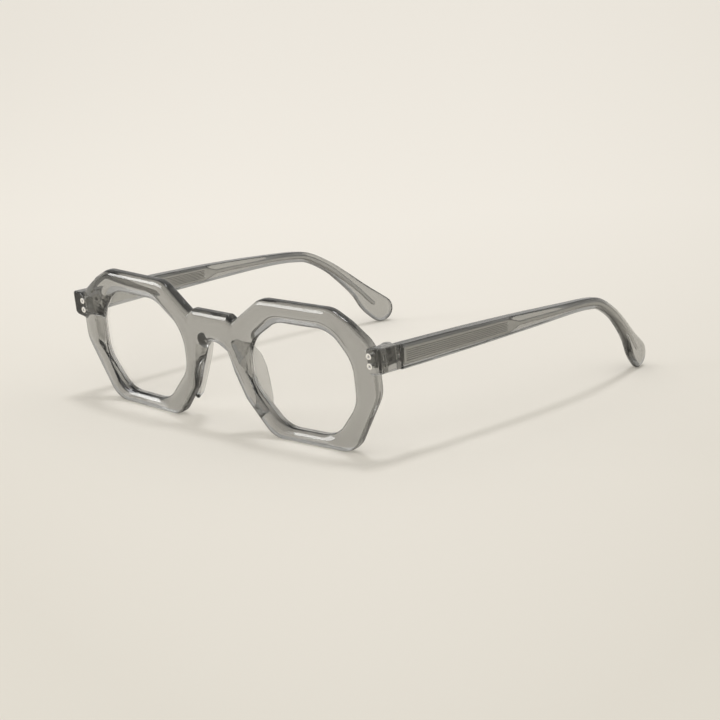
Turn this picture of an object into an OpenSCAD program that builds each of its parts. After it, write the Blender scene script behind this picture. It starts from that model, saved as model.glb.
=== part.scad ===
// Reading glasses with angular rims, cut from translucent grey acetate.
// +X is the wearer's left, the front looks towards -Y, the temples run towards +Y.
// The glasses stand on z = 0 on the feet of both rims and on both temple tips, temples open.

/* [Front] */
// Lean of the front, its top edge forward
front_tilt = 6.5; // [4:0.5:9]
// Turn of each rim towards its own side of the face
rim_wrap = 3.2; // [2:0.2:5]
// Thickness of the acetate sheet of the front
front_t = 4.6; // [4.4:0.1:5.4]
// Height of each rim over its foot
rim_h = 45.2; // [43.6:0.2:48]
// Distance from the middle of the bridge to each rim's outer side
rim_out_x = 66.2; // [65:0.2:67.8]
// Distance from the middle of the bridge to each rim's nose side
rim_in_x = 5.2; // [4.5:0.1:6]
// Width of the foot that each rim stands on
foot_w = 33; // [29:0.5:36]
// Distance from the middle of the bridge to the start of the foot
foot_x = 21.4; // [19:0.5:24]
// Depth that is levelled off under each rim
foot_cut = 0.5; // [0.4:0.05:0.7]
// Radius of the rims' corners
rim_r = 9; // [6:0.5:9.5]
// Bevel round the outer edge of the front
outer_bevel = 1.3; // [0.6:0.1:1.5]
// Bevel round the back edge of the front
back_bevel = 1.4; // [0.6:0.1:1.6]

/* [Lens opening] */
// Width of each lens opening
opening_w = 41.8; // [40:0.2:43]
// Height of each lens opening
opening_h = 34.2; // [32:0.2:35.4]
// Distance from the middle of the bridge to the middle of each opening
opening_x = 36; // [35:0.5:37]
// Height of the rim under the opening
rim_low = 4; // [3.6:0.1:5]
// Radius of the opening's corners
opening_r = 9; // [5:0.5:11]
// Bevel round the front edge of the opening
opening_bevel = 1.4; // [0.8:0.1:1.6]

/* [Bridge] */
// Height of the raised bar's top over the feet
bridge_top = 38.1; // [36.5:0.5:40]
// Width of the raised bar's flat top
bridge_flat = 16; // [12:1:18]
// Radius of the keyhole arch over the nose
arch_r = 5.9; // [5:0.1:6.4]
// Height of the middle of the keyhole arch
arch_z = 22.3; // [21:0.5:23.5]

/* [End pieces and hinges] */
// Distance from the middle of the bridge to the outer side of each end piece
end_x = 70.2; // [69.6:0.2:71.6]
// Height of the top of the end piece
end_top = 35.5; // [35.1:0.1:36.1]
// Height of the underside of the end piece
end_low = 27.4; // [26.8:0.1:27.8]
// Depth of the line where front and temple meet, behind the middle of the front's face
parting_y = 11.3; // [10.8:0.1:12.4]
// Gap at the line where front and temple meet
parting_gap = 0.15; // [0.1:0.05:0.3]
// Height of the hinge's barrels, all together
hinge_h = 5.6; // [5.2:0.2:6.4]
// Height of the middle of the hinge
hinge_z = 31; // [30.4:0.1:31.6]
// Radius of the hinge's barrels
barrel_r = 1.5; // [1.3:0.05:1.6]
// Gap between the end faces of neighbouring barrels
barrel_gap = 0.08; // [0.05:0.01:0.12]
// Thickness of the hinge's plates
leaf_t = 1; // [0.8:0.1:1.2]
// Length of the plate on the front
front_leaf_l = 3.8; // [3.4:0.2:7]
// Length of the plate on the temple
temple_leaf_l = 14; // [10:1:18]
// Radius of the screw's shank
screw_r = 0.7; // [0.6:0.05:0.8]
// Radius of the screw's head
screw_head_r = 1.2; // [1.05:0.05:1.3]
// Height of the screw's head
screw_head_h = 0.6; // [0.4:0.1:0.8]
// Running clearance of the screw in the barrels, on the radius
screw_play = 0.03; // [0.02:0.01:0.08]
// Radius of a rivet's head
rivet_head_r = 1; // [0.8:0.05:1.2]
// Height of a rivet's head
rivet_head_h = 0.7; // [0.5:0.1:1]
// Radius of a rivet's shank
rivet_r = 0.6; // [0.4:0.05:0.7]
// Distance between the two rivets of a plate
rivet_pitch = 3.1; // [2.8:0.1:3.6]
// Distance of the front's rivets from the outer side of the end piece
rivet_in = 5.2; // [4.4:0.2:6.2]
// Clearance round each rivet
rivet_play = 0.05; // [0.02:0.01:0.1]

/* [Lenses] */
// Thickness of the lens in its middle
lens_t = 2.2; // [1.8:0.1:2.4]
// Radius of the lens's front face
lens_front_r = 180; // [150:5:260]
// Radius of the lens's back face
lens_back_r = 230; // [200:5:400]
// Depth of the lens behind the face of the rim
lens_inset = 0.9; // [0.6:0.1:1.2]
// Height of the edge that sits in the rim's groove
lens_edge = 0.6; // [0.4:0.1:0.9]
// Thickness of the edge that sits in the rim's groove
lens_edge_t = 1.2; // [1:0.1:1.3]
// Clearance round the lens
lens_play = 0.05; // [0.03:0.01:0.1]

/* [Nose pads] */
// Height of the middle of each pad
pad_z = 18; // [17:0.5:19.5]
// Distance from the middle of the bridge to the middle of the pad's foot
pad_x = 11.6; // [11.2:0.1:12.2]
// Length of the pad
pad_l = 24; // [20:1:26]
// Depth of the pad behind the rim
pad_depth = 5.6; // [4:0.1:6.2]
// Thickness of the pad
pad_t = 2.4; // [2:0.1:3]
// Lean of the pad along the nose
pad_lean = 21; // [17:1:24]
// Splay of the pad away from the nose
pad_splay = 25; // [15:1:30]

/* [Temples] */
// Length of the temple behind the hinge, over the bend to its end
temple_reach = 136.8; // [132:0.2:144]
// Height of the temple at the hinge
temple_h = 7.9; // [7.4:0.1:8.1]
// Height of the temple at its waist
waist_h = 4; // [3.6:0.1:4.6]
// Distance of the waist behind the hinge
waist_y = 82; // [76:1:86]
// Distance of the start of the bend behind the hinge
bend_y = 96; // [92:1:100]
// Radius of the temple's rounded tip
tip_r = 4.8; // [4.4:0.1:5.4]
// Thickness of the temple
temple_t = 4.2; // [3.6:0.1:4.6]
// Outward bow of the temple at the end of the wide core
temple_bow = 0.8; // [0:0.1:1.5]
// Inward reach of the tip
tip_in = 9.4; // [6:0.2:10]

/* [Core] */
// Length of the wide, grooved part of the core
core_wide_l = 46.5; // [40:0.5:54]
// Height of the wide part at the hinge
core_wide_h = 5.4; // [4.6:0.1:5.8]
// Length of the point between the wide part and the wire
core_point_l = 8; // [5:0.5:12]
// Height of the thin wire
core_wire_h = 1.7; // [1.3:0.1:2]
// Thickness of the core
core_t = 1.2; // [0.9:0.1:1.4]
// Distance from the wire's end to the middle of the tip
core_end = 3.2; // [1:0.2:8]
// Clearance of the core in the temple
core_play = 0.06; // [0.04:0.01:0.12]
// Depth of the engraved lines of the core
engraving = 0.15; // [0.1:0.05:0.25]
// Number of engraved lines on each side of the core
engraved_lines = 6; // [3:1:7]

/* [Hidden] */
$fn = 48;

acetate = [0.45, 0.45, 0.43];
acetate_light = [0.66, 0.65, 0.62];
steel = [0.78, 0.78, 0.77];
clear = [0.85, 0.9, 0.92];

leaf_play = 0.05; // gap round the hinge plate in the temple
seat_gap = 0.02; // gap under a piece that lies on another
round_steps = 20; // steps round the end of a band
skin = 0.01; // thickness of the slices that a bevelled plate is stretched between
through = 20; // reach of a cutter past both faces of the front
level_size = 300; // size of the block that levels the feet
lens_fn = 360; // steps round the large spheres that shape a lens

// Where the rims lie on the front's own curve
rim_y = 1.2;
bridge_y = rim_y - (opening_x - bridge_flat / 2) * sin(rim_wrap); // depth of the bridge's face
bridge_bevel = 0.7; // bevel along the bar's top
arch_bevel = 0.8; // bevel round the front of the arch
bar_low = arch_z + 3; // underside of the raised bar, behind the arch's walls
// The front and the temples share the middle of the hinge as their meeting point
parting_back = parting_y * cos(front_tilt) - hinge_z * sin(front_tilt);
// Half of the way from the front's foremost edge to the temple tips, which puts the origin in the middle
base_mid = (parting_back + temple_reach - rim_h * sin(front_tilt)) / 2;

left = 1;
right = -1;

// Corner points of a block whose four corners are cut off, counted from its lower inner corner
function cut_block(x0, x1, z0, z1, low_in, low_out, up_out, up_in) = [
    [x0, z0 + low_in[1]],
    [x0 + low_in[0], z0],
    [x1 - low_out[0], z0],
    [x1, z0 + low_out[1]],
    [x1, z1 - up_out[1]],
    [x1 - up_out[0], z1],
    [x0 + up_in[0], z1],
    [x0, z1 - up_in[1]],
];

// Eight corners of the lens opening, seen from the front on the wearer's left
opening_points = cut_block(
    opening_x - opening_w / 2, opening_x + opening_w / 2, rim_low, rim_low + opening_h,
    [11.9, 12.6], [9.4, 11.6], [7.5, 9.2], [12.5, 8.4]);

// Corners of the rim: foot, outer side, top, bevelled shoulder over the nose, nose side
rim_points = [
    [foot_x, -foot_cut],
    [foot_x + foot_w, -foot_cut],
    [rim_out_x, 19.4],
    [rim_out_x, rim_h - 10.2],
    [rim_out_x - 9, rim_h - 3.5],
    [rim_out_x - 15.6, rim_h],
    [rim_in_x + 17, rim_h],
    [rim_in_x, rim_h - 12.2],
    [rim_in_x, 25.5],
    [foot_x - 9.7, 11],
];

// Middles of the balls that a nose pad is stretched over, as [along the pad, away from the rim]
pad_out = pad_depth / cos(pad_splay) - pad_t / 2;
pad_balls = [
    [-pad_l / 2 + 1.2, -1],
    [-pad_l / 2 + 1.2, 0.45 * pad_out],
    [-pad_l / 3.4, 0.8 * pad_out],
    [0, pad_out],
    [pad_l / 4, 0.88 * pad_out],
    [pad_l / 2 - 2, 0.3 * pad_out],
    [pad_l / 2 - 1.4, -1],
];

// Places where the raised bar of the bridge changes, as [distance from its middle, height of its top, thickness]
bridge_slices = [
    [bridge_flat / 2, bridge_top, front_t - 0.15],
    [bridge_flat / 2 + 3.7, bridge_top - 2.7, front_t - 0.5],
];

// Outline of an end piece seen from the front
end_root = rim_out_x - 7.6; // where the end piece starts inside the rim
rivet_x = end_x - rivet_in;
end_step = 0.05; // step of the end piece's faces below the rim's faces
end_points = [
    [end_root, end_top],
    [end_x, end_top],
    [end_x, end_low + 0.8],
    [end_x - 1.6, end_low],
    [end_root, end_low - 1.6],
];

// Outline of an end piece seen from above, from the rim's face back to the temple
function face_y(x) = rim_y + (x - opening_x) * tan(rim_wrap);
end_plan = [
    [end_root, face_y(end_root) + end_step],
    [end_x, face_y(end_x) + end_step],
    [end_x, parting_y + 3],
    [end_x - temple_t, parting_y + 3],
    [end_x - temple_t, face_y(end_x - temple_t) + front_t - end_step],
    [end_root, face_y(end_root) + front_t - end_step],
];
end_r = 1.3; // radius of the end piece's front corner, seen from above
end_edge = 0.8; // radius of the end piece's corners, seen from the front

// Points of a smooth curve through the points of a list, steps pieces between each two
function curve(p, steps) = [
    for (i = [1 : len(p) - 3])
        for (s = [0 : steps - 1])
            curve_point(p[i - 1], p[i], p[i + 1], p[i + 2], s / steps),
    p[len(p) - 2],
];
function curve_point(a, b, c, d, t) =
    b + t / 2 * (c - a) + t * t / 2 * (2 * a - 5 * b + 4 * c - d) + t * t * t / 2 * (3 * b - a - 3 * c + d);

// Outline of a band along a path of [y, across, half width]
function band_side(p, side) = [
    for (i = [0 : len(p) - 1])
        let (
            a = p[max(i - 1, 0)],
            b = p[min(i + 1, len(p) - 1)],
            d = [b[0] - a[0], b[1] - a[1]] / norm([b[0] - a[0], b[1] - a[1]]))
        [p[i][0] - side * d[1] * p[i][2], p[i][1] + side * d[0] * p[i][2]]
];
function reversed(p) = [for (i = [len(p) - 1 : -1 : 0]) p[i]];
function band(p) = concat(band_side(p, 1), reversed(band_side(p, -1)));
// The same with a half round at its far end
function round_band(p) =
    let (
        c = p[len(p) - 1],
        a = p[len(p) - 2],
        way = atan2(c[1] - a[1], c[0] - a[0]))
    concat(
        band_side(p, 1),
        [for (i = [1 : round_steps - 1])
            [c[0], c[1]] + c[2] * [cos(way + 90 - 180 * i / round_steps), sin(way + 90 - 180 * i / round_steps)]],
        reversed(band_side(p, -1)));

// Middle of the temple from the side, as [distance behind the hinge, height, half height]
tip_y = temple_reach - tip_r;
temple_mid_z = (end_top + end_low) / 2 - 0.05;
bend_l = 15; // length of the bend, down to where the drop starts
drop_y = bend_y + bend_l;
temple_side = [
    [-20, temple_mid_z, temple_h / 2],
    [-6, temple_mid_z, temple_h / 2],
    [28, temple_mid_z + 0.05, temple_h / 2 - 0.4],
    [57, temple_mid_z, temple_h / 2 - 1.15],
    [waist_y, temple_mid_z - 0.45, waist_h / 2],
    [bend_y - 2, temple_mid_z - 1.2, waist_h / 2 - 0.1],
    [bend_y + 5, temple_mid_z - 2.7, waist_h / 2 - 0.1],
    [drop_y - 1.5, temple_mid_z - 7.2, waist_h / 2],
    [drop_y + 5.3, tip_r + 14.2, waist_h / 2 + 0.45],
    [drop_y + 11.4, tip_r + 8.8, tip_r - 1.7],
    [tip_y - 4.6, tip_r + 3.7, tip_r - 0.4],
    [tip_y, tip_r, tip_r],
    [tip_y + 5.4, tip_r - 3.9, tip_r],
];

// Middle of the temple from above, as [distance behind the hinge, distance from the middle, half thickness]
temple_x = end_x - temple_t / 2;
temple_plan = [
    [-20, temple_x, temple_t / 2],
    [-6, temple_x, temple_t / 2],
    [28, temple_x + 0.6 * temple_bow, temple_t / 2],
    [57, temple_x + temple_bow, temple_t / 2],
    [78, temple_x + 0.5 * temple_bow, temple_t / 2],
    [98, temple_x - 0.12 * tip_in, temple_t / 2 - 0.15],
    [115, temple_x - 0.42 * tip_in, temple_t / 2 - 0.3],
    [tip_y - 3.2, temple_x - 0.8 * tip_in, temple_t / 2 - 0.4],
    [tip_y + tip_r, temple_x - tip_in, temple_t / 2 - 0.4],
    [tip_y + 2 * tip_r, temple_x - 1.15 * tip_in, temple_t / 2 - 0.4],
    [tip_y + 3 * tip_r, temple_x - 1.3 * tip_in, temple_t / 2 - 0.4],
];

temple_curve = curve(temple_side, 8);
plan_curve = curve(temple_plan, 8);

// The hinge's axis lies in the front's own frame
barrel_x = end_x - temple_t - leaf_t * 0.7 - barrel_r * 0.7;
barrel_y = parting_y + 0.3;
barrel_n = 5; // barrels of a hinge, three on the front and two on the temple
barrel_pitch = hinge_h / barrel_n;
barrel_h = barrel_pitch - barrel_gap;
function barrel_z(i) = hinge_z - hinge_h / 2 + i * barrel_pitch + barrel_gap / 2;

// The front's plate ends just inside the end piece, and arms join it to its barrels
front_leaf_x = end_x - temple_t - front_leaf_l - 0.15;
front_arm_w = 1.5 * barrel_r;
slot_w = 0.3; // width and depth of the slot in the screw's head
front_arm_y = rim_y + front_t + (barrel_x - opening_x) * sin(rim_wrap) + leaf_t / 2;

module front_space() {
    translate([0, -base_mid, 0])
        rotate([front_tilt, 0, 0])
            children();
}

module temple_space() {
    translate([0, parting_back - base_mid, 0])
        children();
}

// Mirrors a piece drawn for the wearer's left to the right
module on_side(side) {
    if (side == left)
        children();
    else
        mirror([1, 0, 0])
            children();
}

// Each rim is flat, and turned a little about its own middle
module rim_space() {
    translate([opening_x, rim_y, 0])
        rotate([0, 0, rim_wrap])
            translate([-opening_x, 0, 0])
                children();
}

// A plate between two depths, from an outline seen from the front
module plate(y0, y1) {
    translate([0, y1, 0])
        rotate([90, 0, 0])
            linear_extrude(y1 - y0)
                children();
}

module rounded(points, r) {
    offset(r = r)
        offset(delta = -r)
            polygon(points);
}

// A plate with its front and back edges bevelled
module bevelled(points, r, y1, front_bevel, rear_bevel) {
    hull() {
        plate(0, skin)
            offset(delta = -front_bevel)
                rounded(points, r);
        plate(front_bevel, y1 - rear_bevel)
            rounded(points, r);
        plate(y1 - skin, y1)
            offset(delta = -rear_bevel)
                rounded(points, r);
    }
}

module opening_outline(grow) {
    offset(delta = grow)
        rounded(opening_points, opening_r);
}

module opening_cut() {
    plate(-through, through)
        opening_outline(0);
    hull() {
        plate(-skin, 0)
            opening_outline(opening_bevel + skin);
        plate(opening_bevel, opening_bevel + skin)
            opening_outline(0);
    }
    groove_y = lens_edge_y();
    plate(groove_y - lens_play, groove_y + lens_edge_t + lens_play)
        opening_outline(lens_edge + lens_play);
}

// Depth of the lens's edge behind the rim's face: where the curved lens reaches the groove
function lens_edge_y() = lens_inset + pow(norm([opening_w, opening_h]) / 2 - opening_r / 2, 2) / 2 / lens_front_r;

// The end piece lies level with the temple, and its outer part reaches back to meet it
module end_piece() {
    intersection() {
        translate([0, -base_mid, 0])
            plate(-through, through)
                rounded(end_points, end_edge);
        front_space()
            linear_extrude(rim_h)
                intersection() {
                    rounded(end_plan, end_r);
                    square([end_x + 1, parting_y]);
                }
    }
}

function rivet_z(i) = hinge_z + (i - 0.5) * rivet_pitch;

module rivet_hole(i) {
    translate([rivet_x, 0, rivet_z(i)])
        rotate([-90, 0, 0]) {
            translate([0, 0, -1])
                cylinder(r = rivet_head_r + rivet_play, h = rivet_head_h + 1);
            cylinder(r = rivet_r + rivet_play, h = front_t + leaf_t + 0.1);
        }
}

// The raised bar joins both rims without a step in their faces
module bridge() {
    hull()
        for (side = [left, right])
            on_side(side)
                rim_space()
                    for (p = bridge_slices)
                        translate([p[0], 0, bar_low])
                            bridge_slice(p[1] - bar_low, p[2]);
}

module bridge_slice(h, t) {
    rotate([90, 0, 90])
        linear_extrude(skin)
            polygon([
                [0, 0],
                [t, 0],
                [t, h - bridge_bevel],
                [t - bridge_bevel, h],
                [bridge_bevel, h],
                [0, h - bridge_bevel],
            ]);
}

// A keyhole arch with a bevelled front edge
module arch_cut() {
    translate([0, -through, arch_z])
        rotate([-90, 0, 0])
            cylinder(r = arch_r, h = 2 * through);
    translate([0, bridge_y, arch_z])
        rotate([-90, 0, 0])
            translate([0, 0, -1])
                cylinder(r1 = arch_r + arch_bevel + 1, r2 = arch_r, h = arch_bevel + 1);
    translate([-arch_r, -through, -1])
        cube([2 * arch_r, 2 * through, arch_z + 1]);
}

module front_frame() color(acetate) {
    difference() {
        union() {
            front_space() {
                bridge();
                for (side = [left, right])
                    on_side(side)
                        rim_space()
                            bevelled(rim_points, rim_r, front_t, outer_bevel, back_bevel);
            }
            for (side = [left, right])
                on_side(side)
                    end_piece();
        }
        front_space() {
            arch_cut();
            for (side = [left, right])
                on_side(side)
                    rim_space() {
                        opening_cut();
                        for (i = [0, 1])
                            rivet_hole(i);
                    }
        }
        translate([-level_size / 2, -level_size / 2, -level_size])
            cube(level_size);
    }
}

module lens(side) color(clear, 0.35) {
    front_space()
        on_side(side)
            rim_space() {
                difference() {
                    intersection() {
                        plate(lens_inset - 1, lens_inset + lens_t + 3)
                            opening_outline(-lens_play);
                        translate([opening_x, lens_inset + lens_front_r, rim_low + opening_h / 2])
                            sphere(r = lens_front_r, $fn = lens_fn);
                    }
                    translate([opening_x, lens_inset + lens_t + lens_back_r, rim_low + opening_h / 2])
                        sphere(r = lens_back_r, $fn = lens_fn);
                }
                plate(lens_edge_y(), lens_edge_y() + lens_edge_t)
                    difference() {
                        opening_outline(lens_edge);
                        opening_outline(-lens_play - 0.5);
                    }
            }
}

// A rounded pad that stands on the back of the rim's nose side, thickest in its middle
module nose_pad(side) color(acetate_light) {
    front_space()
        on_side(side)
            rim_space()
                intersection() {
                    translate([pad_x, front_t, pad_z])
                        rotate([0, -pad_lean, 0])
                            rotate([0, 0, -pad_splay])
                                hull()
                                    for (p = pad_balls)
                                        translate([0, p[1], p[0]])
                                            sphere(d = pad_t, $fn = 32);
                    translate([0, front_t + seat_gap, 0])
                        cube([2 * opening_x, through, rim_h]);
                }
}

// Every second barrel belongs to the front, the ones between to the temple
module barrels(first) {
    for (i = [first : 2 : barrel_n - 1])
        translate([barrel_x, barrel_y, barrel_z(i)])
            cylinder(r = barrel_r, h = barrel_h);
}

module screw_hole() {
    translate([barrel_x, barrel_y, hinge_z - hinge_h])
        cylinder(r = screw_r + screw_play, h = 2 * hinge_h);
    translate([barrel_x, barrel_y, hinge_z + hinge_h / 2 - barrel_gap / 2 - screw_head_h])
        cylinder(r = screw_head_r + screw_play, h = screw_head_h + 1);
}

// The plate lies on the back of the rim and the end piece
module front_hinge_leaf(side) color(steel) {
    front_space()
        on_side(side)
            difference() {
                union() {
                    rim_space()
                        translate([front_leaf_x, front_t + seat_gap, hinge_z - hinge_h / 2])
                            cube([front_leaf_l, leaf_t, hinge_h]);
                    for (i = [0 : 2 : barrel_n - 1])
                        translate([barrel_x - front_arm_w / 2, front_arm_y, barrel_z(i)])
                            cube([front_arm_w, barrel_y - front_arm_y, barrel_h]);
                    barrels(0);
                }
                screw_hole();
                rim_space()
                    for (i = [0, 1])
                        rivet_hole(i);
            }
}

module hinge_screw(side) color(steel) {
    front_space()
        on_side(side)
            translate([barrel_x, barrel_y, hinge_z]) {
                translate([0, 0, -hinge_h / 2 + barrel_gap])
                    cylinder(r = screw_r, h = hinge_h - screw_head_h - 1.5 * barrel_gap);
                difference() {
                    translate([0, 0, hinge_h / 2 - barrel_gap / 2 - screw_head_h])
                        cylinder(r = screw_head_r, h = screw_head_h);
                    translate([-screw_head_r, -slot_w / 2, hinge_h / 2 - slot_w])
                        cube([2 * screw_head_r, slot_w, 1]);
                }
            }
}

module front_rivets(side) color(steel) {
    front_space()
        on_side(side)
            rim_space()
                for (i = [0, 1])
                    translate([rivet_x, 0, rivet_z(i)])
                        rotate([-90, 0, 0]) {
                            cylinder(r = rivet_head_r, h = rivet_head_h);
                            cylinder(r = rivet_r, h = front_t + seat_gap + leaf_t);
                        }
}

module side_prism() {
    translate([-2 * end_x, 0, 0])
        rotate([90, 0, 90])
            linear_extrude(4 * end_x)
                children();
}

module plan_prism() {
    linear_extrude(2 * rim_h)
        children();
}

// The temple's end follows the lean of the front
module behind_parting(gap) {
    front_space()
        translate([0, parting_y + gap, -rim_h])
            cube([2 * end_x, 2 * temple_reach, 3 * rim_h]);
}

module temple_blank() {
    temple_space()
        intersection() {
            side_prism()
                polygon(round_band(temple_curve));
            plan_prism()
                polygon([for (p = band(plan_curve)) [p[1], p[0]]]);
        }
}

// The core's middle follows the temple's middle up to its end near the tip
core_stop = tip_y - core_end;
function core_half(y) =
    y < core_wide_l ? core_wide_h / 2 - 0.5 * y / core_wide_l :
    y < core_wide_l + core_point_l
        ? core_wide_h / 2 - 0.5 - (core_wide_h / 2 - 0.5 - core_wire_h / 2) * (y - core_wide_l) / core_point_l :
    core_wire_h / 2;
engraved_w = 0.25; // width of an engraved line
engraved_pitch = (core_wide_h - 1.4) / engraved_lines;
core_path = [for (p = temple_curve) if (p[0] > 2 && p[0] < core_stop) [p[0], p[1], core_half(p[0])]];

module core_solid(play) {
    temple_space()
        intersection() {
            side_prism()
                polygon(round_band([for (p = core_path) [p[0] - (p == core_path[0] ? play : 0), p[1], p[2] + play]]));
            plan_prism()
                polygon([for (p = band([for (q = plan_curve) [q[0], q[1], core_t / 2 + play]])) [p[1], p[0]]]);
        }
}

// The plate on the temple lies level with it, half let into its inner face
temple_leaf_x = end_x - temple_t - leaf_t * 0.7;
temple_leaf_start = barrel_y - parting_y + barrel_r + 0.3;
temple_leaf_h = hinge_h - 1.2;
temple_arm_t = 0.6 * leaf_t;
temple_rivet_y = [0.35 * temple_leaf_l, 0.75 * temple_leaf_l];
temple_head_h = rivet_head_h - 0.2; // height of the heads that hold the temple's plate
temple_rivet_l = leaf_t + 0.75;

module temple_leaf_plate(play) {
    temple_space()
        translate([temple_leaf_x - play, temple_leaf_start - play, temple_mid_z - temple_leaf_h / 2 - play])
            cube([leaf_t + 2 * play, temple_leaf_l + 2 * play, temple_leaf_h + 2 * play]);
}

// Places what is drawn along +Z on the axis of one of the plate's rivets
module on_temple_rivet(i) {
    temple_space()
        translate([temple_leaf_x, temple_leaf_start + temple_rivet_y[i], temple_mid_z])
            rotate([0, 90, 0])
                children();
}

module temple_rivet_hole(i) {
    on_temple_rivet(i) {
        translate([0, 0, -1])
            cylinder(r = rivet_head_r + rivet_play, h = 1 + temple_head_h);
        cylinder(r = rivet_r + rivet_play, h = temple_rivet_l + rivet_play);
    }
}

// Every temple barrel is joined to the plate by an arm
module temple_barrel_arms() {
    for (i = [1 : 2 : barrel_n - 1])
        translate([temple_leaf_x, barrel_y, barrel_z(i)])
            cube([temple_arm_t, barrel_r + 1.5, barrel_h]);
}

module temple(side) color(acetate) {
    on_side(side)
        difference() {
            intersection() {
                temple_blank();
                behind_parting(parting_gap);
            }
            core_solid(core_play);
            temple_leaf_plate(leaf_play);
            for (i = [0, 1])
                temple_rivet_hole(i);
        }
}

module core_wire(side) color(steel) {
    on_side(side)
        difference() {
            core_solid(0);
            temple_space()
                for (i = [0 : engraved_lines - 1])
                    for (face = [-1, 1])
                        translate([temple_x + face * (core_t / 2 + 1) + temple_bow / 2, 4 + core_wide_l / 2,
                                temple_mid_z + (i - (engraved_lines - 1) / 2) * engraved_pitch])
                            rotate([0, 0, -temple_bow])
                                cube([2 - 2 * engraving, core_wide_l - 4, engraved_w], center = true);
        }
}

module temple_hinge_leaf(side) color(steel) {
    on_side(side)
        difference() {
            union() {
                temple_leaf_plate(0);
                front_space() {
                    temple_barrel_arms();
                    barrels(1);
                }
            }
            front_space()
                screw_hole();
            for (i = [0, 1])
                temple_rivet_hole(i);
        }
}

module temple_rivets(side) color(steel) {
    on_side(side)
        for (i = [0, 1])
            on_temple_rivet(i) {
                cylinder(r = rivet_head_r, h = temple_head_h);
                cylinder(r = rivet_r, h = temple_rivet_l);
            }
}

front_frame();
lens(left);  // lens_left
lens(right);  // lens_right
nose_pad(left);  // nose_pad_left
nose_pad(right);  // nose_pad_right
front_hinge_leaf(left);  // front_hinge_leaf_left
front_hinge_leaf(right);  // front_hinge_leaf_right
front_rivets(left);  // front_rivets_left
front_rivets(right);  // front_rivets_right
hinge_screw(left);  // hinge_screw_left
hinge_screw(right);  // hinge_screw_right
temple(left);  // temple_left
temple(right);  // temple_right
core_wire(left);  // core_wire_left
core_wire(right);  // core_wire_right
temple_hinge_leaf(left);  // temple_hinge_leaf_left
temple_hinge_leaf(right);  // temple_hinge_leaf_right
temple_rivets(left);  // temple_rivets_left
temple_rivets(right);  // temple_rivets_right
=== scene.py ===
"""Reading glasses in clear grey acetate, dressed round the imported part.

Acetate pieces are described by distances in millimetres and meshed on their zero surface, so that
every edge is rounded as polishing leaves it. Rivets are turned and cores are swept as plain meshes.
Blender's units are metres.
"""
import math

import bpy
import numpy as np
from bpy.props import FloatProperty, FloatVectorProperty, PointerProperty
from mathutils import Matrix, Vector


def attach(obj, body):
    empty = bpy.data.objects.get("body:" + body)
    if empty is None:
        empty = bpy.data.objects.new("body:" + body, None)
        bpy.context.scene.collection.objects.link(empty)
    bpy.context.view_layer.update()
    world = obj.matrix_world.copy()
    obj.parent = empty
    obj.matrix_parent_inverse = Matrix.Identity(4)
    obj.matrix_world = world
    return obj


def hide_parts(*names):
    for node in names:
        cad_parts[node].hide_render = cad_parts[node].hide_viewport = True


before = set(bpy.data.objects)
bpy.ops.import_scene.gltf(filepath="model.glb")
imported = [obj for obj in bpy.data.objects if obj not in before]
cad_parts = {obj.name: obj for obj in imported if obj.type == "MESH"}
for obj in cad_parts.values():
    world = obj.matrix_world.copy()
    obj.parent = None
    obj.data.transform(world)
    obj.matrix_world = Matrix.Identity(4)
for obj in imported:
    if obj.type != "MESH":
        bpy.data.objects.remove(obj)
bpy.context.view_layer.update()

bl_info = {
    "name": "Clear Acetate Reading Glasses",
    "version": (1, 0, 0),
    "blender": (4, 5, 0),
    "location": "3D View > Sidebar > Glasses",
    "description": "Builds the front, temples, pads, rivets, cores and stage of reading glasses",
    "category": "Add Mesh",
}

MM = 0.001
SIDES = {"left": 1, "right": -1}


def length(name, description, millimetres):
    """A size that the sidebar shows in the scene's units."""
    return FloatProperty(
        name=name, description=description, default=millimetres * MM, unit="LENGTH", precision=5)


def angle(name, description, degrees):
    """An angle that the sidebar shows in degrees."""
    return FloatProperty(
        name=name, description=description, default=math.radians(degrees), subtype="ANGLE")


def colour(name, description, value):
    """A linear colour."""
    return FloatVectorProperty(
        name=name, description=description, default=value, subtype="COLOR", min=0, max=1)


def amount(name, description, value, unit="NONE"):
    """A number from zero upwards."""
    return FloatProperty(name=name, description=description, default=value, unit=unit, min=0)


class FrontSizes(bpy.types.PropertyGroup):
    tilt: angle("Tilt", "Lean of the front against the floor", 6.5)
    wrap: angle("Wrap", "Turn of each rim about its own middle", 3.2)
    thickness: length("Thickness", "Thickness of the sheet that the front is cut from", 4.6)
    rim_middle: length("Rim middle", "Distance from the bridge to an opening's middle", 36)
    rim_depth: length("Rim depth", "Depth of the rims' faces at their middles", 1.2)
    corner: length("Corner", "Radius of the rims' corners", 9)
    opening_corner: length("Opening corner", "Radius of the openings' corners", 11)
    dish: length("Dish", "Depth that the face falls away to beside each lens opening", 1.5)
    dish_width: length("Dish width", "Width of that fall", 3.6)
    dome: length("Dome", "Depth that the face falls away to along its outer edge", 1.05)
    dome_width: length("Dome width", "Width of that fall", 3.2)
    edge: length("Front edge", "Radius that polishing gives the front's outer edge", 0.8)
    back_edge: length("Back edge", "Radius of the front's back edge", 1.6)
    opening_edge: length("Opening edge", "Radius of the front edge of each lens opening", 0.3)
    arch: length("Arch", "Radius of the keyhole arch over the nose", 5.9)
    arch_height: length("Arch height", "Height of the middle of the arch", 22.3)
    parting: length("Parting", "Depth of the line where front and temple meet", 11.3)
    parting_gap: length("Parting gap", "Gap at that line", 0.15)


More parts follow.
